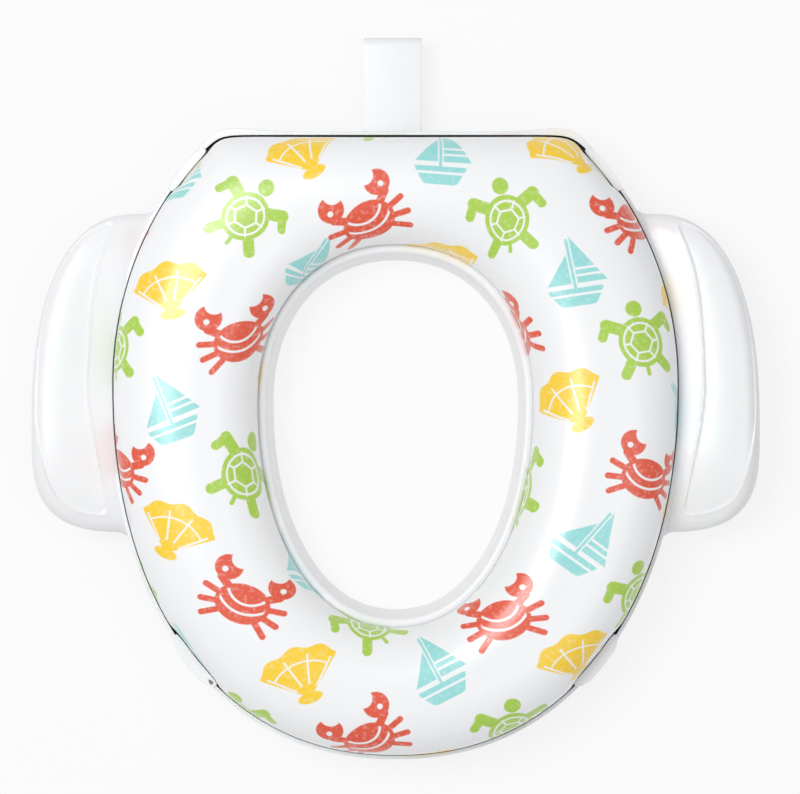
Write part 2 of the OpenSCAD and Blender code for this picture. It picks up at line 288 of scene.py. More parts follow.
def corner(
    share: float, offset: float, height: float, radius: float,
    start: float, end: float, count: int, flare: float = 0.0,
) -> list[ProfilePoint]:
    """Quarter or half round of a section.

    Args:
        share: WELL or RIM.
        offset: Offset of the arc's centre from that edge.
        height: Height of the arc's centre.
        radius: Radius of the arc.
        start: First direction in degrees, counted from outwards over up.
        end: Last direction in degrees.
        count: Number of points.
        flare: Share of the rear corners' extra width.

    Returns:
        The points in order.
    """
    points = []
    for i in range(count):
        a = math.radians(start + (end - start) * i / (count - 1))
        out, up = radius * math.cos(a), radius * math.sin(a)
        points.append(ProfilePoint(share, offset + out, height + up, flare))
    return points


def sweep_ring(profile: Sequence[ProfilePoint], count: int, closed: bool) -> Solid:
    """Spins a section into a ring and lays it along the seat's outline.

    Args:
        profile: The section's points in order.
        count: Number of stations round the seat.
        closed: Whether the section closes on itself.

    Returns:
        The ring, with each vertex's place in the section and round the ring kept in the layers
        step and station.
    """
    bm = bmesh.new()
    step = bm.verts.layers.int.new("step")
    row_start, row_step = 1.0, 0.01
    verts = []
    for i in range(len(profile)):
        v = bm.verts.new((row_start + row_step * i, 0.0, 0.0))
        v[step] = i
        verts.append(v)
    edges = [bm.edges.new(pair) for pair in zip(verts, verts[1:])]
    if closed:
        edges.append(bm.edges.new((verts[-1], verts[0])))
    bmesh.ops.spin(
        bm, geom=verts + edges, axis=(0, 0, 1), cent=(0, 0, 0), angle=2 * math.pi, steps=count,
        use_merge=True, use_normal_flip=False, use_duplicate=False,
    )
    turns = OUTLINE.stations(count)
    station = bm.verts.layers.int.new("station")
    for v in bm.verts:
        v[station] = round(math.atan2(v.co.y, v.co.x) / (2 * math.pi) * count) % count
        turn, p = turns[v[station]], profile[v[step]]
        flat = OUTLINE.lay(turn, p.share, p.offset + p.flare * OUTLINE.corner_extra(turn))
        v.co = (flat.x, flat.y, p.height)
    bmesh.ops.recalc_face_normals(bm, faces=bm.faces)
    return bm


def assign(thing: object, **settings: object) -> None:
    """Sets several attributes of a thing."""
    for name, value in settings.items():
        setattr(thing, name, value)


def put(name: str, data: bpy.types.ID) -> Piece:
    """Links a new object with its data into the scene."""
    obj = bpy.data.objects.new(name, data)
    bpy.context.scene.collection.objects.link(obj)
    return obj


def new_object(name: str, bm: Solid) -> Piece:
    """Turns a bmesh into an object at the origin and frees the bmesh."""
    mesh = bpy.data.meshes.new(name)
    bm.to_mesh(mesh)
    bm.free()
    return put(name, mesh)


def modify(obj: Piece, name: str, kind: str, **settings: object) -> bpy.types.Modifier:
    """Adds a modifier with its settings."""
    modifier = obj.modifiers.new(name, kind)
    assign(modifier, **settings)
    return modifier


def apply_modifiers(obj: Piece) -> None:
    """Bakes an object's modifiers into its mesh."""
    bpy.context.view_layer.update()
    depsgraph = bpy.context.evaluated_depsgraph_get()
    baked = bpy.data.meshes.new_from_object(
        obj.evaluated_get(depsgraph), preserve_all_data_layers=True, depsgraph=depsgraph
    )
    obj.modifiers.clear()
    obj.data = baked


def combine(obj: Piece, others: Sequence[Piece], operation: str) -> None:
    """Joins or cuts a solid with several others, which are then removed.

    Args:
        obj: The solid that stays.
        others: The solids joined to it or cut from it.
        operation: UNION or DIFFERENCE.
    """
    tools = bpy.data.collections.new("tools")
    bpy.context.scene.collection.children.link(tools)
    for other in others:
        bpy.context.scene.collection.objects.unlink(other)
        tools.objects.link(other)
    settings = {"operand_type": "COLLECTION", "collection": tools, "solver": "EXACT"}
    modify(obj, "combine", "BOOLEAN", operation=operation, **settings)
    apply_modifiers(obj)
    for other in others:
        bpy.data.objects.remove(other)
    bpy.data.collections.remove(tools)


def shade(obj: Piece, sharp_angle: float) -> None:
    """Smooth shading with the edges above an angle in degrees left sharp."""
    obj.data.polygons.foreach_set("use_smooth", [True] * len(obj.data.polygons))
    obj.data.set_sharp_from_angle(angle=math.radians(sharp_angle))


def dress(obj: Piece, material: Material, node: str) -> Piece:
    """Gives a piece its material and ties it to the frame.

    Args:
        obj: The finished piece.
        material: Its material.
        node: The CAD node that it stands for.

    Returns:
        The same piece.
    """
    obj.data.materials.clear()
    obj.data.materials.append(material)
    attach(obj, BODY)
    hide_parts(node)
    return obj


def grown_verts(geom: Sequence[object]) -> list[bmesh.types.BMVert]:
    """The vertices among what an extrusion has made."""
    return [g for g in geom if isinstance(g, bmesh.types.BMVert)]


def prism(points: Sequence[Sequence[float]], low: float, high: float) -> Solid:
    """Upright solid on an outline, from height low to height high."""
    bm = bmesh.new()
    face = bm.faces.new([bm.verts.new((*point, low)) for point in points])
    top = grown_verts(bmesh.ops.extrude_face_region(bm, geom=[face])["geom"])
    bmesh.ops.translate(bm, verts=top, vec=(0, 0, high - low))
    bmesh.ops.recalc_face_normals(bm, faces=bm.faces)
    return bm


def mirrored(bm: Solid, side: Side) -> Solid:
    """A copy of a right-hand mesh for the given side."""
    copy = bm.copy()
    if side is Side.LEFT:
        bmesh.ops.scale(copy, vec=(-1, 1, 1), verts=copy.verts)
        bmesh.ops.reverse_faces(copy, faces=copy.faces)
    return copy


def distance_to_line(point: Vector, line: Sequence[Vector]) -> float:
    """Shortest distance from a point to a broken line in the plan."""
    best = math.inf
    px, py = point.x, point.y
    for a, b in zip(line, line[1:]):
        dx, dy = b.x - a.x, b.y - a.y
        t = held(((px - a.x) * dx + (py - a.y) * dy) / (dx * dx + dy * dy))
        best = min(best, (a.x + dx * t - px) ** 2 + (a.y + dy * t - py) ** 2)
    return math.sqrt(best)


def rounded_least(a: float, b: float, width: float) -> float:
    """Smaller of two numbers, rounded where they meet."""
    h = max(0.0, 1.0 - abs(a - b) / width)
    return min(a, b) - h * h * width / 4


# Shader boards

Value = Union["Signal", Socket, float, Sequence[float]]

# Places of the colour sockets of a Mix node
MIX_FIRST, MIX_SECOND, MIX_RESULT = 6, 7, 2


def math_step(operation: str, swap: bool = False) -> Callable[["Signal", Value], "Signal"]:
    """An operator of the signals.

    Args:
        operation: What the Math node does.
        swap: Whether the signal is the second of the two numbers.

    Returns:
        The operator as a method.
    """

    def step(signal: "Signal", other: Value) -> "Signal":
        """Puts the signal and the other number through a Math node."""
        pair = (other, signal) if swap else (signal, other)
        return signal.board.math(operation, *pair)

    return step


@dataclass(eq=False)
class Signal:
    """A number that runs through a node tree, so that sums of it can be written as sums."""

    board: "Board"
    socket: Socket

    __add__ = math_step("ADD")
    __sub__ = math_step("SUBTRACT")
    __rsub__ = math_step("SUBTRACT", swap=True)
    __mul__ = math_step("MULTIPLY")
    __truediv__ = math_step("DIVIDE")

    def __neg__(self) -> "Signal":
        """The number with its sign turned."""
        return self * -1.0

    def __abs__(self) -> "Signal":
        """The number without its sign."""
        return self.board.math("ABSOLUTE", self)


class Board:
    """Adds nodes to one tree and wires them."""

    def __init__(self, tree: Tree) -> None:
        """Takes the tree that the nodes go into."""
        self.tree = tree

    def feed(self, socket: Socket, value: Value) -> None:
        """Links a socket to a signal, or sets its own value."""
        source = value.socket if isinstance(value, Signal) else value
        if isinstance(source, bpy.types.NodeSocket):
            self.tree.links.new(source, socket)
        elif socket.type == "RGBA" and len(source) == 3:
            socket.default_value = (*source, 1.0)
        else:
            socket.default_value = source

    def add(self, kind: str, *values: Value, **settings: object) -> Node:
        """Adds a node.

        Args:
            kind: The node's type.
            values: What its first inputs are fed with, in order.
            settings: Its settings.

        Returns:
            The node.
        """
        node = self.tree.nodes.new(kind)
        assign(node, **settings)
        for socket, value in zip(node.inputs, values):
            self.feed(socket, value)
        return node

    def wire(self, node: Node, **values: Value) -> Node:
        """Feeds a node's inputs by name, with underscores for spaces, and returns the node."""
        for name, value in values.items():
            self.feed(node.inputs[name.replace("_", " ")], value)
        return node

    def out(self, node: Node, name: Union[str, int] = 0) -> Signal:
        """One of a node's outputs."""
        return Signal(self, node.outputs[name])

    def math(self, operation: str, *values: Value, clamp: bool = False) -> Signal:
        """Result of a Math node."""
        return self.out(self.add("ShaderNodeMath", *values, operation=operation, use_clamp=clamp))

    def vector(self, operation: str, *values: Value) -> Signal:
        """Result of a Vector Math node."""
        node = self.add("ShaderNodeVectorMath", *values, operation=operation)
        scalar = operation in ("DOT_PRODUCT", "DISTANCE", "LENGTH")
        return self.out(node, "Value" if scalar else "Vector")

    def scaled(self, vector: Value, factor: Value) -> Signal:
        """A vector times a number."""
        node = self.add("ShaderNodeVectorMath", vector, operation="SCALE")
        return self.out(self.wire(node, Scale=factor), "Vector")

    def split(self, vector: Value) -> tuple[Signal, ...]:
        """The three numbers of a vector."""
        node = self.add("ShaderNodeSeparateXYZ", vector)
        return tuple(self.out(node, axis) for axis in "XYZ")

    def least(self, *values: Value) -> Signal:
        """Smallest of several numbers."""
        return reduce(lambda a, b: self.math("MINIMUM", a, b), values)

    def most(self, *values: Value) -> Signal:
        """Largest of several numbers."""
        return reduce(lambda a, b: self.math("MAXIMUM", a, b), values)

    def mix(self, factor: Value, a: Value, b: Value) -> Signal:
        """Colour a where factor is 0 and colour b where it is 1."""
        node = self.add("ShaderNodeMix", factor, data_type="RGBA")
        self.feed(node.inputs[MIX_FIRST], a)
        self.feed(node.inputs[MIX_SECOND], b)
        return self.out(node, MIX_RESULT)

    def between(self, value: Value, limits: Point) -> Signal:
        """Share of the way between two limits, held from 0 to 1."""
        return self.out(self.add("ShaderNodeMapRange", value, *limits))

    def noise(self, vector: Value, scale: Value, detail: float, rough: float) -> Signal:
        """Fractal noise from 0 to 1."""
        node = self.add("ShaderNodeTexNoise")
        return self.out(self.wire(node, Vector=vector, Scale=scale, Detail=detail, Roughness=rough))

    def call(self, group: Tree, **values: Value) -> dict[str, Signal]:
        """A group placed in this tree and fed by name, as its outputs by name."""
        node = self.wire(self.add("ShaderNodeGroup", node_tree=group), **values)
        return {socket.name: Signal(self, socket) for socket in node.outputs}


class GroupBoard(Board):
    """A board for a node group with named inputs and outputs."""

    def __init__(self, name: str, inputs: dict[str, str], outputs: dict[str, str]) -> None:
        """Makes the group.

        Args:
            name: The group's name.
            inputs: The kind of each input by name.
            outputs: The kind of each output by name.
        """
        super().__init__(bpy.data.node_groups.new(name, "ShaderNodeTree"))
        for way, sockets in (("INPUT", inputs), ("OUTPUT", outputs)):
            for label, kind in sockets.items():
                kind = "NodeSocket" + kind
                self.tree.interface.new_socket(name=label, in_out=way, socket_type=kind)
        self.source = self.add("NodeGroupInput")
        self.sink = self.add("NodeGroupOutput")

    def given(self, name: str) -> Signal:
        """One of the group's inputs."""
        return self.out(self.source, name)

    def give(self, **values: Value) -> Tree:
        """Sets the group's outputs by name and returns its tree."""
        self.wire(self.sink, **values)
        return self.tree


class MaterialBoard(Board):
    """A board for a new material with nothing but its output."""

    def __init__(self, name: str) -> None:
        """Makes the material."""
        self.material = bpy.data.materials.new(name)
        self.material.use_nodes = True
        super().__init__(self.material.node_tree)
        self.tree.nodes.clear()
        self.output = self.add("ShaderNodeOutputMaterial")

    def give(self, shader: Node) -> Material:
        """Shows a shader on the surface and returns the material."""
        self.wire(self.output, Surface=shader.outputs[0])
        return self.material


# Sea print


class MotifBoard(GroupBoard):
    """A printed motif drawn with distances, in units of half its length."""

    soft = 0.025

    def __init__(self, name: str) -> None:
        """Makes the motif's group, with its place as it is and folded about the middle."""
        super().__init__(name, {"Place": "Vector"}, {"Shape": "Float", "Lines": "Float"})
        self.place = self.given("Place")
        self.x, self.y, _ = self.split(self.place)
        self.folded = self.out(self.add("ShaderNodeCombineXYZ", abs(self.x), self.y))

    def disc(self, centre: Point, radius: float, folded: bool = False) -> Signal:
        """Distance to a disc."""
        place = self.folded if folded else self.place
        return self.vector("DISTANCE", place, (*centre, 0.0)) - radius

    def oval(self, centre: Point, radii: Point) -> Signal:
        """Rough distance to an oval."""
        shifted = self.vector("SUBTRACT", self.place, (*centre, 0.0))
        squeezed = self.vector("DIVIDE", shifted, (*radii, 1.0))
        return (self.vector("LENGTH", squeezed) - 1.0) * min(radii)

    def half_plane(self, normal: Point, reach: float, folded: bool = False) -> Signal:
        """Distance past a line at reach along a direction."""
        place = self.folded if folded else self.place
        return self.vector("DOT_PRODUCT", place, (*normal, 0.0)) - reach

    def stroke(self, start: Point, end: Point, radius: float, folded: bool = True) -> Signal:
        """Distance to a round-ended stroke."""
        run = (end[0] - start[0], end[1] - start[1], 0.0)
        local = self.vector("SUBTRACT", self.folded if folded else self.place, (*start, 0.0))
        share = self.vector("DOT_PRODUCT", local, run)
        share = self.math("MULTIPLY", share, 1.0 / (run[0] ** 2 + run[1] ** 2), clamp=True)
        return self.vector("DISTANCE", local, self.scaled(run, share)) - radius

    def strokes(self, radius: float, *pairs: tuple[Point, Point]) -> Signal:
        """Distance to the nearest of several strokes of one width."""
        return self.least(*(self.stroke(start, end, radius) for start, end in pairs))

    def band(self, distance: Value, half_width: float) -> Signal:
        """Distance to a line of even width where another distance is 0."""
        return abs(distance) - half_width

    def soft_most(self, a: Value, b: Value) -> Signal:
        """Larger of two distances, rounded where they meet."""
        return self.math("SMOOTH_MAX", a, b, 0.12)

    def ink(self, distance: Value) -> Signal:
        """1 inside a shape and 0 outside."""
        return self.math("MULTIPLY_ADD", distance, -1.0 / self.soft, 0.5, clamp=True)

    def finish(self, shape: Value, *lines: Value) -> Tree:
        """Fills the shape, leaves the lines bare and returns the group."""
        return self.give(Shape=self.ink(shape), Lines=self.ink(self.least(*lines)))


def draw_boat() -> Tree:
    """A sailing boat with two sails."""
    m = MotifBoard("motif sailing boat")
    hull = m.soft_most(m.most(m.y + 0.36, -0.8 - m.y), m.half_plane((0.86, -0.51), 0.76, folded=True))
    main_sail = m.most(0.07 - m.x, -0.24 - m.y, m.half_plane((0.86, 0.51), 0.54))
    fore_sail = m.most(m.x + 0.07, -0.24 - m.y, m.half_plane((-0.8, 0.6), 0.36))
    mast = m.stroke((0.0, -0.4), (0.0, 0.86), 0.035, folded=False)
    bands = [m.most(m.band(m.y - height, 0.03), 0.07 - m.x) for height in (0.12, -0.05)]
    return m.finish(m.least(hull, main_sail, fore_sail, mast), m.band(m.y + 0.52, 0.03), *bands)


def draw_crab() -> Tree:
    """A crab seen from above."""
    m = MotifBoard("motif crab")
    body = m.oval((0.0, -0.16), (0.64, 0.5))
    arm = m.stroke((0.44, 0.12), (0.7, 0.3), 0.1)
    claw = m.most(m.disc((0.64, 0.58), 0.32, folded=True), -m.disc((0.44, 0.88), 0.24, folded=True))
    legs = m.strokes(
        0.075, ((0.5, -0.1), (0.95, -0.02)), ((0.5, -0.3), (0.92, -0.4)), ((0.4, -0.46), (0.76, -0.74))
    )
    ridges = [m.most(m.band(m.disc((0.0, 0.36), r), 0.03), body + 0.08) for r in (0.52, 0.76)]
    knuckle = m.disc((0.7, 0.5), 0.07, folded=True)
    return m.finish(m.least(body, arm, claw, legs), *ridges, knuckle)


def draw_shell() -> Tree:
    """A scallop shell with ribs."""
    m = MotifBoard("motif scallop")
    hinge = (0.0, -0.66)
    reach = m.disc(hinge, 0.0)
    turn = m.math("ARCTAN2", m.x, m.y - hinge[1])
    edge = reach - 1.3 - m.math("COSINE", turn * 12.0) * 0.045
    sides = (abs(turn) - 0.86) * reach
    knob = m.oval(hinge, (0.3, 0.14))
    ribs = m.band(m.math("COSINE", turn * 6.0), 0.0) * reach / 6.0 - 0.022
    growth = m.most(m.band(reach - 0.92, 0.02), sides + 0.08)
    ribs = m.most(ribs, 0.34 - reach, edge + 0.16)
    return m.finish(m.least(m.soft_most(edge, sides), knob), ribs, growth)


def draw_turtle() -> Tree:
    """A turtle seen from above, with a ring and a six-sided plate on its shell."""
    m = MotifBoard("motif turtle")
    shell = m.oval((0.0, -0.06), (0.56, 0.62))
    head = m.disc((0.0, 0.78), 0.2)
    front = m.least(m.stroke((0.4, 0.3), (0.74, 0.48), 0.15), m.stroke((0.74, 0.48), (0.9, 0.2), 0.11))
    rear = m.stroke((0.34, -0.48), (0.56, -0.78), 0.13)
    tail = m.stroke((0.0, -0.6), (0.0, -0.86), 0.05)
    plate = m.most(abs(m.x) * 0.87 + abs(m.y + 0.06) * 0.5, abs(m.y + 0.06)) - 0.25
    line = 0.024
    upper, lower = ((0.15, 0.2), (0.25, 0.36)), ((0.15, -0.32), (0.25, -0.48))
    spokes = m.strokes(line, ((0.28, -0.06), (0.44, -0.06)), upper, lower)
    rings = (m.band(plate, line), m.band(shell + 0.13, line))
    return m.finish(m.least(shell, head, front, rear, tail), *rings, spokes)


@dataclass(frozen=True)
class SeaPrint:
    """Inks, scale and layout of the cushion's sea print."""

    ground: Colour = (0.93, 0.935, 0.94)
    teal: Colour = (0.32, 0.74, 0.72)
    coral: Colour = (0.80, 0.10, 0.045)
    yellow: Colour = (1.0, 0.66, 0.03)
    green: Colour = (0.42, 0.66, 0.07)
    half_length: float = 0.021
    cell: Triple = (0.069, 0.067, 1.0)
    stray: Triple = (0.010, 0.010, 0.0)
    sway: float = 1.5
    first_shift: Triple = (0.011, 0.019, 0.0)
    second_shift: Triple = (0.0455, 0.0525, 0.0)
    shift_seed: float = 900.0
    mottle_scale: float = 420.0
    mottle_limits: Point = (0.52, 0.72)
    mottle_fade: float = 0.28

    def places(self) -> Tree:
        """Staggered places for motifs, each with its own small shift and turn.

        Returns:
            A group with the place in units of a motif and which of two motifs stands there.
        """
        inputs = {"Vector": "Vector", "Shift": "Vector"}
        g = GroupBoard("motif places", inputs, {"Place": "Vector", "Second": "Float"})
        shift = g.given("Shift")
        counted = g.vector("DIVIDE", g.vector("ADD", g.given("Vector"), shift), self.cell)
        index = g.vector("FLOOR", counted)
        local = g.vector("SUBTRACT", g.vector("FRACTION", counted), (0.5, 0.5, 0.0))
        seed = g.vector("ADD", index, g.vector("FLOOR", g.scaled(shift, self.shift_seed)))
        dice = g.add("ShaderNodeTexWhiteNoise", noise_dimensions="3D")
        g.wire(dice, Vector=seed)
        jitter = g.vector("SUBTRACT", g.out(dice, "Color"), (0.5, 0.5, 0.5))
        metres = g.vector("MULTIPLY", local, self.cell)
        metres = g.vector("SUBTRACT", metres, g.vector("MULTIPLY", jitter, self.stray))
        turn = g.add("ShaderNodeVectorRotate", rotation_type="Z_AXIS")
        g.wire(turn, Vector=metres, Angle=(g.out(dice, "Value") - 0.5) * self.sway)
        flat = g.vector("MULTIPLY", g.out(turn), (1.0, 1.0, 0.0))
        x, y, _ = g.split(index)
        second = g.math("FRACT", (x + y) * 0.5) * 2.0
        return g.give(Place=g.scaled(flat, 1.0 / self.half_length), Second=second)

    def group(self) -> Tree:
        """The whole print as one colour over the vinyl's flat pattern."""
        g = GroupBoard("sea print", {"Vector": "Vector"}, {"Color": "Color"})
        vector = g.given("Vector")
        places = self.places()
        mottle = g.between(g.noise(vector, self.mottle_scale, 3.0, 0.6), self.mottle_limits)
        colour: Value = self.ground
        layers = (
            (self.first_shift, (draw_boat(), self.teal), (draw_shell(), self.yellow)),
            (self.second_shift, (draw_crab(), self.coral), (draw_turtle(), self.green)),
        )
        for shift, first, second in layers:
            spot = g.call(places, Vector=vector, Shift=shift)
            for (motif, tone), chosen in ((first, 1.0 - spot["Second"]), (second, spot["Second"])):
                drawn = g.call(motif, Place=spot["Place"])
                mask = drawn["Shape"] * (1.0 - drawn["Lines"]) * chosen
                pale = tuple(c + (1.0 - c) * self.mottle_fade for c in tone)
                colour = g.mix(mask, colour, g.mix(mottle, tone, pale))
        return g.give(Color=colour)


# Finishes


def grain_group() -> Tree:
    """Fine surface grain and a slow waviness, used by every moulded or coated finish."""
    inputs = {name: "Float" for name in ("Grain", "Waves", "Rough", "Spread")}
    outputs = {"Height": "Float", "Roughness": "Float"}
    g = GroupBoard("surface grain", {"Vector": "Vector", **inputs}, outputs)
    vector = g.given("Vector")
    fine = g.noise(vector, g.given("Grain"), 2.0, 0.6)
    slow = g.noise(vector, g.given("Waves"), 2.0, 0.5)
    scuffs = g.noise(vector, 90.0, 5.0, 0.7)
    rough = g.given("Rough") + (scuffs - 0.5) * g.given("Spread")
    return g.give(Height=fine * 0.35 + slow, Roughness=rough)


@dataclass(frozen=True)
class Finish:
    """A moulded or coated finish with grain, waviness and scuffs."""

    name: str
    colour: Colour
    second: Colour
    roughness: float
    spread: float = 0.1
    grain_scale: float = 1600.0
    wave_scale: float = 30.0
    bump: float = 0.00004
    coat: float = 0.0
    coat_roughness: float = 0.15
    sheen: float = 0.0
    subsurface: float = 0.0
    subsurface_scale: float = 0.004
    patch_scale: float = 55.0
    patch_limits: Point = (0.35, 0.7)

    def surface(self, board: Board) -> tuple[Value, Value]:
        """Coordinates and colour that the finish is laid with."""
        place = board.out(board.add("ShaderNodeTexCoord"), "Object")
        patches = board.between(board.noise(place, self.patch_scale, 4.0, 0.6), self.patch_limits)
        return place, board.mix(patches, self.colour, self.second)

    def build(self, grain: Tree) -> Material:
        """The finish as a material.

        Args:
            grain: The shared grain group.

        Returns:
            The new material.
        """
        board = MaterialBoard(self.name)
        place, colour = self.surface(board)
        scales = {"Grain": self.grain_scale, "Waves": self.wave_scale}
        skin = board.call(grain, Vector=place, Rough=self.roughness, Spread=self.spread, **scales)
        bump = board.add("ShaderNodeBump")
        board.wire(bump, Distance=self.bump, Height=skin["Height"])
        shader = board.add("ShaderNodeBsdfPrincipled")
        board.wire(
            shader,
            Base_Color=colour,
            Roughness=skin["Roughness"],
            Normal=bump.outputs[0],
            Coat_Weight=self.coat,
            Coat_Roughness=self.coat_roughness,
            Sheen_Weight=self.sheen,
            Subsurface_Weight=self.subsurface,
            Subsurface_Scale=self.subsurface_scale,
        )
        return board.give(shader)


@dataclass(frozen=True)
class PrintedVinyl(Finish):
    """Glossy vinyl with the sea print, laid on the cover's flat pattern."""

    sea: SeaPrint = SeaPrint()

    def surface(self, board: Board) -> tuple[Value, Value]:
        """The cover's flat pattern and the printed colour."""
        place = board.out(board.add("ShaderNodeUVMap", uv_map="flat_pattern"))
        return place, board.call(self.sea.group(), Vector=place)["Color"]


@dataclass(frozen=True)
class MouldedBase(Finish):
    """The base's white plastic, with painted shade inside the narrow gap round the cushion."""

    # Colour of the painted shade in the gap round the cushion, standing in for the shadow there.
    painted_gap_shade: Colour = (0.03, 0.03, 0.035)

    def surface(self, board: Board) -> tuple[Value, Value]:
        """Object coordinates and the plastic's colour, with painted shade where the mesh carries the
        gap mask.
        """
        place, colour = super().surface(board)
        # Painted shade: the colour goes near black wherever the gap mask is set.
        gap_shade_mask = board.add("ShaderNodeAttribute", attribute_name="painted_gap_shade")
        return place, board.mix(gap_shade_mask.outputs["Fac"], colour, self.painted_gap_shade)


FINISHES: dict[str, Finish] = {
    # The base's material also paints shade into the gap round the cushion.
    "base": MouldedBase(
        "white moulded base", (0.9, 0.903, 0.912), (0.91, 0.913, 0.921), 0.34,
        bump=0.00003, coat=0.15, coat_roughness=0.12, subsurface=0.15,
    ),
    "vinyl": PrintedVinyl(
        "printed vinyl cover", (0.93, 0.93, 0.93), (0.93, 0.93, 0.93), 0.3,
        spread=0.08, grain_scale=2200.0, wave_scale=38.0, bump=0.00008, coat=0.5, coat_roughness=0.16,
    ),
    "plate": Finish("backing board", (0.72, 0.72, 0.73), (0.68, 0.68, 0.69), 0.55, grain_scale=900.0),
    "foam": Finish(
        "cushion foam", (0.9, 0.85, 0.68), (0.84, 0.78, 0.6), 0.95,
        grain_scale=700.0, bump=0.0003, sheen=0.2,
    ),
    "rubber": Finish(
        "soft rubber pads", (0.66, 0.67, 0.68), (0.6, 0.61, 0.62), 0.7, grain_scale=1800.0, bump=0.00006
    ),
    "hook": Finish(
        "frosted hook strip", (0.93, 0.94, 0.952), (0.92, 0.932, 0.945), 0.42,
        bump=0.00003, subsurface=0.1,
    ),
}


# Base moulding


@dataclass(frozen=True)
class Dome:
    """Sizes of one closed dome of a handle.

    It holds how far the dome stays inside the handle's outline, its start outside the cushion's
    edge, how far its top lies below the handle's, the height of its foot and its steps.
    """

    cut: float
    inner: float
    drop: float
    floor: float
    along: int
    across: int


@dataclass(frozen=True)
class Ramps:
    """A distance in mm that grows in smooth steps: its first value, then gain, start and end."""

    first: float
    steps: tuple[Triple, ...]

    def at(self, y: float) -> float:
        """The distance in metres at y."""
        return (self.first + sum(gain * ease(y, a * MM, b * MM) for gain, a, b in self.steps)) * MM


@dataclass(frozen=True)
class Handle:
    """One grip handle: a hollow dome along the seat's side with a dished panel."""

    flange: float
    reach: float = 192 * MM
    wide_y: float = 3 * MM
    front: float = 54 * MM
    rear: float = 114 * MM
    root: float = 135 * MM
    front_power: float = 3.3
    rear_power: float = 2.45
    front_end_power: float = 2.5
    rear_end_power: float = 4.5
    dome_power: float = 2.4
    slope_power: float = 0.7
    crest_at: float = 0.76
    valley: float = 5.8 * MM
    foot: float = LEVELS.skirt + 0.3 * MM
    foot_step: float = 0.1 * MM
    least_width: float = 0.4 * MM
    last_turn: float = math.radians(89.4)
    fillet: float = 7 * MM
    fillet_power: int = 12
    body: Dome = Dome(0.0, 1.25 * MM, 0.0, LEVELS.skirt + 0.3 * MM, 190, 96)
    hollow: Dome = Dome(2.5 * MM, 2.5 * MM, 2.6 * MM, LEVELS.skirt - 2.5 * MM, 70, 36)
    panel_inset: Ramps = Ramps(10.0, ((4.2, -30, 30), (3.8, 40, 100)))
    panel_margin: Ramps = Ramps(2.8, ((1.2, 80, 15), (5.4, 15, -32)))
    panel_round: float = 6 * MM
    panel_depth: float = 1.0 * MM
    panel_edge: Point = (-0.2 * MM, 0.9 * MM)
    bead_height: float = 0.38 * MM
    bead_middle: float = -0.5 * MM
    bead_width: float = 0.8 * MM
    near: float = 4 * MM

    def y_at(self, turn: float, cut: float) -> float:
        """Distance back from the opening's centre at a station."""
        reach = self.front if math.sin(turn) < 0 else self.rear
        return self.wide_y + (reach - cut) * math.sin(turn)

    def tip_at(self, turn: float, cut: float) -> float:
        """Outermost point at a station."""
        power = self.front_power if math.sin(turn) < 0 else self.rear_power
        return self.root + (self.reach - cut - self.root) * fall(math.sin(turn), power)

    def rise_at(self, share: float) -> float:
        """Height of the top at a share of the handle's width, above the skirt's lower edge."""
        crest = LEVELS.handle_crest - LEVELS.skirt
        valley = LEVELS.deck + self.valley - LEVELS.skirt
        if share < self.crest_at:
            slope = (share / self.crest_at) ** self.slope_power
            return valley + (crest - valley) * ease(slope, 0.0, 1.0)
        return crest * fall((share - self.crest_at) / (1.0 - self.crest_at), self.dome_power)

    def flared(self, x: float, y: float, turn: float) -> Point:
        """A place in the plan, drawn outwards where the handle's ends run into the rim."""
        beyond = x - OUTLINE.edge_x(y)
        share = held((beyond - self.flange) / self.fillet)
        reach = self.fillet * (1.0 - math.sqrt(1.0 - (1.0 - share) ** 2))
        y += math.copysign(reach * abs(math.sin(turn)) ** self.fillet_power, turn)
        return OUTLINE.edge_x(y) + beyond, y

    def dome(self, size: Dome) -> Solid:
        """The closed right-hand dome of a size."""
        bm = bmesh.new()
        bmesh.ops.create_grid(bm, x_segments=size.across, y_segments=size.along, size=1.0)
        for v in bm.verts:
            turn = v.co.y * self.last_turn
            share = math.sin((v.co.x + 1.0) * math.pi / 4)
            y = self.y_at(turn, size.cut)
            start = OUTLINE.edge_x(y) + size.inner
            end = max(self.tip_at(turn, size.cut), start + self.least_width)
            scale = fall(math.sin(turn), self.front_end_power if turn < 0 else self.rear_end_power)
            height = (self.rise_at(share) - size.drop) * scale
            x, y = self.flared(start + (end - start) * share, y, turn)
            v.co = (x, y, self.foot + self.foot_step + height)
        border = [e for e in bm.edges if e.is_boundary]
        for v in grown_verts(bmesh.ops.extrude_edge_only(bm, edges=border)["geom"]):
            v.co.z = size.floor
        bmesh.ops.holes_fill(bm, edges=[e for e in bm.edges if e.is_boundary], sides=0)
        bmesh.ops.recalc_face_normals(bm, faces=bm.faces)
        return bm

    def press_panel(self, bm: Solid) -> None:
        """Lowers the dished panel into the top of a dome, with a fine bead round it."""
        turns = [math.radians(turn) for turn in range(-90, 91, 3)]
        outer = [Vector((self.tip_at(t, 0.0), self.y_at(t, 0.0))) for t in turns]
        for v in bm.verts:
            beyond = OUTLINE.rim_offset(v.co.x, v.co.y) - self.panel_inset.at(v.co.y)
            if v.co.z < LEVELS.skirt + self.near or beyond < -self.near:
                continue
            inside = distance_to_line(v.co, outer) - self.panel_margin.at(v.co.y)
            gap = rounded_least(inside, beyond, self.panel_round)
            bead = max(0.0, 1.0 - abs(gap - self.bead_middle) / self.bead_width)
            v.co.z += self.bead_height * bead - self.panel_depth * ease(gap, *self.panel_edge)

    def solids(self) -> tuple[Solid, Solid]:
        """The right-hand handle's body and the hollow cut from it."""
        body = self.dome(self.body)
        self.press_panel(body)
        return body, self.dome(self.hollow)


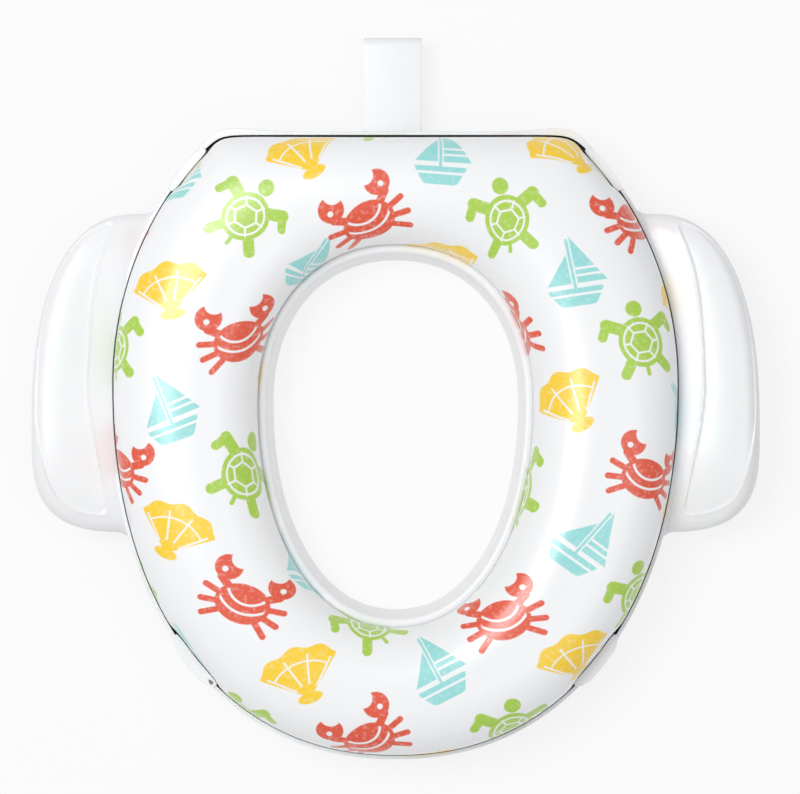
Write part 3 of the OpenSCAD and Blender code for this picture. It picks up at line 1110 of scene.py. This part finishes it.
@dataclass(frozen=True)
class Lug:
    """A lug's place on the rim of the right-hand side."""

    turn: float
    length: float
    bulge: float
    end_power: float = 4.0
    press_reach: float = 1.06

    def turn_at(self, share: float) -> float:
        """Direction at a share of the lug's half length, from -1 to 1."""
        middle = math.radians(self.turn)
        reach = (OUTLINE.rim_point(middle) - Vector((0, OUTLINE.wide_y))).length
        return middle + self.length / 2 / reach * share

    def press_at(self, x: float, y: float) -> float:
        """How much the lug presses at a point near the rim, from 0 to 1."""
        middle = math.radians(self.turn)
        turn = math.atan2(y - OUTLINE.wide_y, abs(x))
        return fall((turn - middle) / (self.turn_at(self.press_reach) - middle), self.end_power)


LUGS = (Lug(-54.2, 33 * MM, 2.2 * MM), Lug(45.7, 28 * MM, 0.9 * MM))


@dataclass(frozen=True)
class BaseMoulding:
    """The one-piece base: deck, skirt, collar, lip, handles, lugs, ribs and pad seats.

    Each place of draft and neck is an inset and a drop. rib_ends are the ends' insets.
    """

    stations: int = 232
    rim_gap: float = 1.0 * MM
    flange: float = 3.0 * MM
    edge_round: float = 0.5 * MM
    gap_round: float = 0.3 * MM
    lip_outer: float = -0.3 * MM
    lip_width: float = 5.0 * MM
    lip_round: float = 2.2 * MM
    lip_power: float = 0.85
    lip_foot: float = 1.5 * MM
    draft: tuple[Point, ...] = ((0.8 * MM, 5 * MM), (1.6 * MM, 18 * MM))
    taper: float = 1.8 * MM
    foot_round: float = 1.0 * MM
    foot_inner: float = 0.9 * MM
    neck: Point = (0.6 * MM, 3 * MM)
    under_reach: float = 2.2 * MM
    under_round: float = 2.6 * MM
    skirt_round: float = 1.5 * MM
    bite: float = 0.5 * MM
    cut_past: float = 1.0 * MM
    lug_steps: int = 26
    lug_sink: float = 0.2 * MM
    lug_inner: float = 0.3 * MM
    lug_swell_ends: Point = (0.55, 1.0)
    lug_bite: float = 2.2 * MM
    lug_height: float = 6.5 * MM
    lug_round: float = 0.45 * MM
    eyelet_turn: float = -121.6
    eyelet_inset: float = 0.6 * MM
    eyelet_size: Point = (1.7 * MM, 0.95 * MM)
    eyelet_drop: float = 0.45
    clearance: float = 0.3 * MM
    rib_count: int = 16
    rib_width: float = 1.8 * MM
    rib_depth: float = 6 * MM
    rib_ends: Point = (0.6 * MM, 0.4 * MM)
    pad_turns: tuple[float, ...] = (-126.0, -54.0, 144.0, 36.0)
    pad_length: float = 34 * MM
    pad_width: float = 14 * MM
    pad_height: float = 6 * MM
    pad_room: float = 0.2 * MM
    seat_wall: float = 1.8 * MM
    peg_turns: tuple[float, ...] = (-90.0, -18.0, 18.0, 90.0, 162.0, 198.0)
    peg_share: float = 0.32
    peg_diameter: float = 6 * MM
    # How far the painted shade in the gap round the cushion reaches, and where it fades out.
    painted_shade_depth: float = 4 * MM
    painted_shade_reach: float = 0.15 * MM
    painted_shade_fade: float = 0.35 * MM

    def section(self) -> list[ProfilePoint]:
        """Section of deck, skirt, lip and collar, counted from the skirt's lower outer edge."""
        lv, wall, flange, gap = LEVELS, LEVELS.wall, self.flange, self.rim_gap
        edge, soft, lip, foot_round = self.edge_round, self.gap_round, self.lip_round, self.foot_round
        under, skirt_round = self.under_round, self.skirt_round
        lip_inner = self.lip_outer - self.lip_width
        foot = lip_inner - self.taper
        top = (
            (RIM, flange - edge, lv.skirt + edge, edge, -90, 0, 4, 1.0),
            (RIM, flange - edge, lv.rim - edge, edge, 0, 90, 5, 1.0),
            (RIM, gap + soft, lv.rim - soft, soft, 90, 180, 4),
            (RIM, gap - edge, lv.deck + edge, edge, 0, -90, 4),
            (WELL, self.lip_foot, lv.deck + lip, lip, 270, 180, 6),
        )
        collar = (
            (WELL, foot + foot_round, foot_round, foot_round, 180, 270, 5),
            (WELL, foot + wall - self.foot_inner, foot_round, foot_round, 270, 350, 4),
        )
        below = (
            (WELL, lip_inner + wall + self.under_reach, lv.deck_under - under, under, 165, 90, 4),
            (RIM, flange - wall - skirt_round, lv.deck_under - skirt_round, skirt_round, 90, 0, 4, 1.0),
            (RIM, flange - wall + edge, lv.skirt + edge, edge, 180, 270, 4, 1.0),
        )
        points = [p for arc in top for p in corner(*arc)]
        for out, up in arch(10, self.lip_power):
            across = self.lip_outer - self.lip_width / 2 + self.lip_width / 2 * out
            points.append(ProfilePoint(WELL, across, lv.lip - lip + lip * up))
        points += [ProfilePoint(WELL, lip_inner - x, lv.deck - z) for x, z in self.draft]
        points += [p for arc in collar for p in corner(*arc)]
        inset, drop = self.neck
        points.append(ProfilePoint(WELL, lip_inner + wall - inset, lv.deck_under - drop))
        return points + [p for arc in below for p in corner(*arc)]

    def lug(self, lug: Lug) -> Solid:
        """A lug that swells out of the rim, follows the cushion's edge and keeps it in line."""
        outer: list[Vector] = []
        inner: list[Vector] = []
        for i in range(self.lug_steps + 1):
            share = math.sin(math.pi / 2 * (2 * i / self.lug_steps - 1))
            turn = lug.turn_at(share)
            swell = lug.bulge * (1.0 - ease(abs(share), *self.lug_swell_ends))
            bite = self.lug_bite * fall(share, lug.end_power)
            outer.append(OUTLINE.rim_at(turn, self.flange - self.lug_sink + swell))
            inner.append(OUTLINE.rim_at(turn, self.rim_gap + self.lug_inner - bite))
        bm = prism(outer + inner[::-1], LEVELS.skirt + self.cut_past, LEVELS.deck + self.lug_height)
        top = [e for e in bm.edges if all(v.co.z > LEVELS.deck for v in e.verts)]
        bmesh.ops.bevel(
            bm, geom=top, offset=self.lug_round, affect="EDGES", segments=3, profile=0.5, material=-1
        )
        return bm

    def eyelet(self) -> Solid:
        """Cutter for the small drop-shaped eyelet at the end of the front left lug."""
        turn = math.radians(self.eyelet_turn)
        centre = OUTLINE.rim_at(turn, self.rim_gap + self.eyelet_inset)
        run = (OUTLINE.rim_at(turn + 0.01) - OUTLINE.rim_at(turn - 0.01)).normalized()
        length, width = self.eyelet_size
        steps = 24
        points = []
        for k in range(steps):
            c, s = math.cos(2 * math.pi * k / steps), math.sin(2 * math.pi * k / steps)
            across = width * s * (1.0 + self.eyelet_drop * c)
            points.append(centre + run * (length * c) + right_of(run) * across)
        top = LEVELS.deck + self.lug_height + self.cut_past
        return prism(points, LEVELS.skirt - self.cut_past, top)

    def rib(self, turn: float) -> Solid:
        """A radial rib below the deck."""
        inset = self.lip_outer - self.lip_width + LEVELS.wall
        start = OUTLINE.well_at(turn, inset + self.rib_ends[0])
        end = OUTLINE.rim_at(turn, self.flange - LEVELS.wall - self.rib_ends[1])
        right = right_of((end - start).normalized() * self.rib_width / 2)
        points = (start + right, end + right, end - right, start - right)
        return prism(points, LEVELS.deck_under - self.rib_depth, LEVELS.deck_under + self.bite)

    @staticmethod
    def deck_point(turn: float, share: float) -> Vector:
        """A point of the deck at a share of the way in from the rim to the opening."""
        rim = OUTLINE.rim_at(turn)
        return rim + (OUTLINE.well_at(turn) - rim) * share

    def pad_outline(self, turn: float, grow: float) -> list[Vector]:
        """Long round outline of a pad, grown by an amount."""
        step = math.radians(1.0)
        centre = self.deck_point(turn, 0.5)
        run = (self.deck_point(turn + step, 0.5) - self.deck_point(turn - step, 0.5)).normalized()
        radius = self.pad_width / 2 + grow
        half = self.pad_length / 2 - self.pad_width / 2
        points = []
        for end, first in ((1, -90), (-1, 90)):
            for k in range(13):
                a = math.radians(first + 15 * k)
                along, left = half * end + radius * math.cos(a), radius * math.sin(a)
                points.append(centre + run * along - right_of(run) * left)
        return points

    def peg_hole(self, turn: float) -> Solid:
        """Cutter for a hole that takes one of the cushion's snap pegs."""
        bm = bmesh.new()
        radius = self.peg_diameter / 2 + self.clearance
        depth = LEVELS.wall + 2 * self.cut_past
        bmesh.ops.create_cone(
            bm, cap_ends=True, segments=32, radius1=radius, radius2=radius, depth=depth
        )
        spot = (*self.deck_point(turn, self.peg_share), LEVELS.deck - LEVELS.wall / 2)
        bmesh.ops.translate(bm, verts=bm.verts, vec=spot)
        return bm

    def paint_gap_shade(self, base: Piece) -> None:
        """Masks the faces of the narrow gap round the cushion for painted shade, where hardly any light
        reaches.
        """
        painted_gap_shade = base.data.attributes.new("painted_gap_shade", "FLOAT", "POINT")
        for v in base.data.vertices:
            if not LEVELS.deck - 0.1 * MM < v.co.z < LEVELS.handle_crest:
                continue
            offset = OUTLINE.rim_offset(v.co.x, v.co.y)
            if -self.painted_shade_depth < offset < self.rim_gap + self.painted_shade_reach:
                # Painted shade: full deep in the gap, fading out near the top of the rim.
                fade = ease(v.co.z, LEVELS.rim - self.painted_shade_fade, LEVELS.rim)
                painted_gap_shade.data[v.index].value = 1.0 - fade

    def parts(self) -> tuple[list[Solid], list[Solid]]:
        """The solids joined to the ring and those cut from it, in order."""
        body, hollow = Handle(self.flange).solids()
        right = [body, *(self.lug(lug) for lug in LUGS)]
        added = [mirrored(part, side) for side in Side for part in right]
        removed = [mirrored(hollow, side) for side in Side]
        added += [self.rib((i + 0.5) * 2 * math.pi / self.rib_count) for i in range(self.rib_count)]
        socket_top = LEVELS.pad_face + self.pad_height + self.pad_room
        for turn in map(math.radians, self.pad_turns):
            seat = self.pad_outline(turn, self.clearance + self.seat_wall)
            socket = self.pad_outline(turn, self.clearance)
            added.append(prism(seat, LEVELS.skirt + self.cut_past, LEVELS.deck_under + self.bite))
            removed.append(prism(socket, LEVELS.skirt - self.cut_past, socket_top))
        removed += [self.peg_hole(math.radians(turn)) for turn in self.peg_turns]
        return added, [*removed, self.eyelet()]

    def build(self, material: Material) -> Piece:
        """Models the whole moulding as one closed mesh and dresses it."""
        base = new_object("base_moulding", sweep_ring(self.section(), self.stations, closed=True))
        for operation, solids in zip(("UNION", "DIFFERENCE"), self.parts()):
            combine(base, [new_object("tool", solid) for solid in solids], operation)
        # Paints shade into the gap round the cushion.
        self.paint_gap_shade(base)
        shade(base, 38.0)
        modify(base, "even shading", "WEIGHTED_NORMAL", keep_sharp=True, weight=60)
        return dress(base, material, "base")


# Cushion


@dataclass(frozen=True)
class Cushion:
    """The vinyl cover drawn over the foam, with its hem tucked below the backing plate.

    Each place of edge is an inset and a rise in mm.
    """

    stations: int = 168
    arch_steps: int = 30
    arch_power: float = 2.35
    cover: float = 0.9 * MM
    edge: tuple[Point, ...] = (
        (11.4, 0.0), (7.8, 0.0), (3.8, 0.0), (2.4, 0.3), (1.5, 1.3), (0.9, 2.8), (0.35, 5.0)
    )
    pinned: Point = (4 * MM, 16 * MM)
    frames: int = 20
    swell: float = 1.2 * MM
    tuck: float = 0.85 * MM
    rear_tuck: float = 0.6 * MM
    rear_from: Point = (128 * MM, 140 * MM)
    press: float = 2.0 * MM
    tuck_heights: Point = (LEVELS.deck + 16 * MM, LEVELS.deck + 31 * MM)
    tuck_depth: float = 26 * MM

    def section(self) -> list[ProfilePoint]:
        """Section of the cover's outer face, from the hem at the rim over the crown to the well."""
        edge = [(inset * MM, LEVELS.hem + rise * MM) for inset, rise in self.edge]
        points = [ProfilePoint(RIM, -inset, height) for inset, height in edge]
        for out, up in arch(self.arch_steps, 2 / self.arch_power):
            height = LEVELS.shoulder + (LEVELS.crown - LEVELS.shoulder) * up
            points.append(ProfilePoint(0.5 + 0.5 * out, 0.0, height))
        return points + [ProfilePoint(WELL, inset, height) for inset, height in reversed(edge)]

    def lay_flat(self, bm: Solid) -> None:
        """Writes the cover's flat pattern: plan places, with the flanks laid out by their length."""
        step = bm.verts.layers.int["step"]
        station = bm.verts.layers.int["station"]
        rows: dict[int, list[bmesh.types.BMVert]] = {}
        for v in bm.verts:
            rows.setdefault(v[station], []).append(v)
        flat: dict[bmesh.types.BMVert, Vector] = {}
        for row in rows.values():
            row.sort(key=lambda v: v[step])
            run = [0.0]
            for a, b in zip(row, row[1:]):
                run.append(run[-1] + (b.co - a.co).length)
            middle = len(row) // 2
            inward = (row[-1].co.xy - row[0].co.xy).normalized()
            for v, length in zip(row, run):
                flat[v] = row[middle].co.xy + inward * (length - run[middle])
        layer = bm.loops.layers.uv.new("flat_pattern")
        for face in bm.faces:
            for loop in face.loops:
                loop[layer].uv = flat[loop.vert]

    def inflate(self, obj: Piece) -> None:
        """Lets the foam's pressure settle the cover, held at its hem.

        Args:
            obj: The cover's outer face. Its mesh is changed in place.
        """
        pins = obj.vertex_groups.new(name="hem")
        for v in obj.data.vertices:
            weight = 1.0 - ease(v.co.z, *(LEVELS.hem + height for height in self.pinned))
            pins.add([v.index], weight, "REPLACE")
        cloth = modify(obj, "settle", "CLOTH")
        assign(
            cloth.settings, quality=8, mass=0.3, tension_stiffness=40, compression_stiffness=40,
            shear_stiffness=15, bending_stiffness=4, use_pressure=True, uniform_pressure_force=0.6,
            vertex_group_mass="hem",
        )
        cloth.settings.effector_weights.gravity = 0.0
        cloth.collision_settings.use_self_collision = False
        assign(cloth.point_cache, frame_start=1, frame_end=self.frames)
        for number in range(1, self.frames + 1):
            bpy.context.scene.frame_set(number)
        settled = obj.evaluated_get(bpy.context.evaluated_depsgraph_get())
        moved = [v.co.copy() for v in settled.to_mesh().vertices]
        settled.to_mesh_clear()
        obj.modifiers.remove(cloth)
        bpy.context.scene.frame_set(1)
        furthest = 0.0
        for v, end in zip(obj.data.vertices, moved):
            shift = end - v.co
            furthest = max(furthest, shift.length)
            v.co += shift * (self.swell / max(shift.length, self.swell))
        log.info("cover settled, furthest point %.2f mm", furthest / MM)

    def tuck_edge(self, obj: Piece) -> None:
        """Draws the cover's outer edge in from the rim, more at the rear and before the lugs."""
        for v in obj.data.vertices:
            low = 1.0 - ease(v.co.z, *self.tuck_heights)
            if low <= 0 or OUTLINE.rim_offset(v.co.x, v.co.y) < -self.tuck_depth:
                continue
            lugs = max(lug.press_at(v.co.x, v.co.y) for lug in LUGS)
            rear = ease(v.co.y, *self.rear_from)
            inward = (Vector((0, OUTLINE.wide_y)) - v.co.xy).normalized()
            v.co.xy += inward * (self.tuck + self.rear_tuck * rear + self.press * lugs) * low

    def build(self, material: Material) -> Piece:
        """Models the cover and dresses it."""
        bm = sweep_ring(self.section(), self.stations, closed=False)
        self.lay_flat(bm)
        cover = new_object("cushion_vinyl_cover", bm)
        self.inflate(cover)
        self.tuck_edge(cover)
        modify(cover, "rounding", "SUBSURF", levels=1, render_levels=1)
        modify(cover, "skin", "SOLIDIFY", thickness=self.cover, offset=-1.0)
        apply_modifiers(cover)
        shade(cover, 60.0)
        return dress(cover, material, "cushion_cover")


# Hanging hook


@dataclass(frozen=True)
class HangingHook:
    """A springy strip: a prong behind the skirt, a flat run and a bend with its leg."""

    width: float = 31 * MM
    middle_x: float = -1.8 * MM
    thickness: float = 2 * MM
    strip_z: float = 18.7 * MM
    prong_y: float = 153.4 * MM
    prong_height: float = 8 * MM
    prong_bend: tuple[Point, ...] = ((0.0, 1.2 * MM), (0.35 * MM, 0.35 * MM), (1.2 * MM, 0.0))
    end_y: float = 211.5 * MM
    leg: float = 34 * MM
    leg_z: float = 5.2 * MM
    leg_lift: float = 1.5 * MM
    bend: float = 4 * MM
    bend_steps: int = 8
    skin_share: float = 0.98
    edge_round: float = 0.5 * MM

    def path(self) -> list[Point]:
        """Centre line as (y, z) places."""
        start = self.prong_y + self.thickness / 2
        middle = self.end_y - self.thickness / 2 - self.bend
        points = [(start, self.strip_z + self.prong_height)]
        points += [(start + y, self.strip_z + z) for y, z in self.prong_bend]
        for first, height in ((90, self.strip_z - self.bend), (0, self.leg_z + self.bend)):
            for k in range(self.bend_steps + 1):
                a = math.radians(first - 90 * k / self.bend_steps)
                points.append((middle + self.bend * math.cos(a), height + self.bend * math.sin(a)))
        points.append((self.end_y - self.leg, self.leg_z + self.leg_lift))
        return points

    def build(self, material: Material) -> Piece:
        """Extrudes the strip along its path, rounds its edges and dresses it."""
        bm = bmesh.new()
        path = self.path()
        sides = (self.middle_x - self.width / 2, self.middle_x + self.width / 2)
        edge = bm.edges.new([bm.verts.new((x, *path[0])) for x in sides])
        for before, after in zip(path, path[1:]):
            grown = bmesh.ops.extrude_edge_only(bm, edges=[edge])["geom"]
            edge = next(g for g in grown if isinstance(g, bmesh.types.BMEdge))
            shift = (0.0, after[0] - before[0], after[1] - before[1])
            bmesh.ops.translate(bm, verts=grown_verts(grown), vec=shift)
        bmesh.ops.recalc_face_normals(bm, faces=bm.faces)
        hook = new_object("hanging_hook_strip", bm)
        body = {"thickness": self.thickness * self.skin_share, "offset": 0.0, "use_even_offset": True}
        modify(hook, "strip", "SOLIDIFY", **body)
        limit = {"limit_method": "ANGLE", "angle_limit": math.radians(50)}
        modify(hook, "soft edges", "BEVEL", width=self.edge_round, segments=3, **limit)
        apply_modifiers(hook)
        shade(hook, 30.0)
        return dress(hook, material, "hanging_hook")


# Studio


@dataclass(frozen=True)
class Studio:
    """Pale floor, soft lights and the camera straight above the seat."""

    camera_height: float = 1.36
    scale: float = 0.52 * MM
    aim: Point = (2.3 * MM, 20.5 * MM)
    aim_z: float = 45 * MM
    sensor: float = 36.0
    clip: Point = (0.05, 20.0)
    floor_size: float = 4.0
    floor_colour: Colour = (0.84, 0.84, 0.85)
    floor_glow: float = 0.82
    lamps: tuple[tuple[str, Triple, float, float], ...] = (
        ("key", (-0.52, 0.25, 1.34), 0.6, 9.7),
        ("fill", (0.6, -0.3, 1.35), 0.8, 2.2),
    )
    lamp_aim: Triple = (0.0, 0.02, 0.03)
    sky_colour: tuple[float, ...] = (0.97, 0.98, 1.0, 1.0)
    sky_strength: float = 0.5

    def floor(self) -> None:
        """A wide pale floor that shows white and keeps the seat's shadow."""
        bm = bmesh.new()
        bmesh.ops.create_grid(bm, x_segments=1, y_segments=1, size=self.floor_size)
        floor = new_object("floor", bm)
        board = MaterialBoard("studio floor")
        matt = board.add("ShaderNodeBsdfDiffuse", self.floor_colour)
        glow = board.add("ShaderNodeEmission", (1.0, 1.0, 1.0))
        path = board.add("ShaderNodeLightPath")
        rays = (board.out(path, f"Is {kind} Ray") for kind in ("Camera", "Glossy", "Transmission"))
        share = board.most(*rays) * self.floor_glow
        mixed = board.add("ShaderNodeMixShader", share, matt.outputs[0], glow.outputs[0])
        floor.data.materials.append(board.give(mixed))

    def lamp(self, name: str, place: Triple, size: float, power: float) -> None:
        """A square soft light aimed at the seat.

        Args:
            name: The lamp's name.
            place: Where it stands, in metres.
            size: Length of its side.
            power: Its power in watts.
        """
        data = bpy.data.lights.new(name, "AREA")
        assign(data, shape="SQUARE", size=size, energy=power)
        aim = (Vector(self.lamp_aim) - Vector(place)).to_track_quat("-Z", "Y")
        assign(put(name, data), location=place, rotation_mode="QUATERNION", rotation_quaternion=aim)

    def lights(self) -> None:
        """A key high at the rear left, a weaker one at the front right and an even sky."""
        for lamp in self.lamps:
            self.lamp(*lamp)
        world = bpy.data.worlds.new("studio sky")
        bpy.context.scene.world = world
        world.use_nodes = True
        sky = world.node_tree.nodes["Background"]
        Board(world.node_tree).wire(sky, Color=self.sky_colour, Strength=self.sky_strength)

    def camera(self) -> None:
        """The camera at the photograph's angle."""
        data = bpy.data.cameras.new("camera")
        lens = self.sensor * (self.camera_height - self.aim_z) / (IMAGE_WIDTH * self.scale)
        near, far = self.clip
        assign(data, sensor_width=self.sensor, lens=lens, clip_start=near, clip_end=far)
        camera = put("camera", data)
        camera.location = (*self.aim, self.camera_height)
        bpy.context.scene.camera = camera

    def build(self) -> None:
        """Sets the whole stage."""
        self.floor()
        self.lights()
        self.camera()
        bpy.context.scene.view_settings.view_transform = "Standard"


# Seat


class PottySeat:
    """The whole seat, built round the frame."""

    kept_nodes = {
        "cushion_plate": "plate",
        "cushion_foam": "foam",
        "grip_pad_front_left": "rubber",
        "grip_pad_front_right": "rubber",
        "grip_pad_rear_left": "rubber",
        "grip_pad_rear_right": "rubber",
    }
    makers = {"base": BaseMoulding(), "vinyl": Cushion(), "hook": HangingHook()}

    def __init__(self) -> None:
        """Makes all the seat's materials."""
        grain = grain_group()
        self.materials = {name: finish.build(grain) for name, finish in FINISHES.items()}

    def dress_kept_nodes(self) -> None:
        """Gives the CAD nodes that stay their own materials."""
        for name, finish in self.kept_nodes.items():
            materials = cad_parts[name].data.materials
            materials.clear()
            materials.append(self.materials[finish])

    def build(self) -> None:
        """Builds and reports each piece in order."""
        self.dress_kept_nodes()
        for finish, maker in self.makers.items():
            piece = maker.build(self.materials[finish])
            log.info("%s: %d faces", piece.name, len(piece.data.polygons))


def main() -> None:
    """Builds the stage and the seat."""
    logging.basicConfig(level=logging.INFO, format="%(name)s: %(message)s")
    Studio().build()
    PottySeat().build()


if __name__ == "__main__":
    main()
